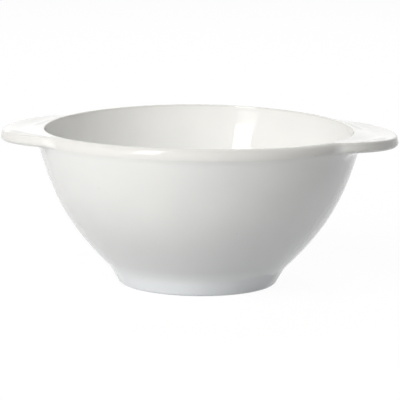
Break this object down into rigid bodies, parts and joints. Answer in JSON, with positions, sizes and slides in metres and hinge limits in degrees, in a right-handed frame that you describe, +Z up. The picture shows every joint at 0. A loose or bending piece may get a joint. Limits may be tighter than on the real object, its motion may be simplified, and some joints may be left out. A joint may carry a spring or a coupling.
{
  "type": "soup bowl",
  "caption": "Round white porcelain soup bowl on a foot ring, with a rolled rim and a flat flared lug at each side for lifting it.",
  "frame": {"origin": "on the table plane, in the middle under the foot ring", "axes": "+X towards the right lug, +Y towards the back, +Z up"},
  "size_m": [0.1684, 0.1386, 0.067],
  "materials": {
    "glazed_porcelain": "clear gloss glaze over white porcelain",
    "foot_porcelain": "clear gloss glaze on the sides, bare biscuit on the bearing face"
  },
  "bodies": {
    "root": {"bowl_body": "glazed_porcelain", "foot_ring": "foot_porcelain", "left_lug_handle": "glazed_porcelain", "right_lug_handle": "glazed_porcelain"}
  },
  "joints": []
}
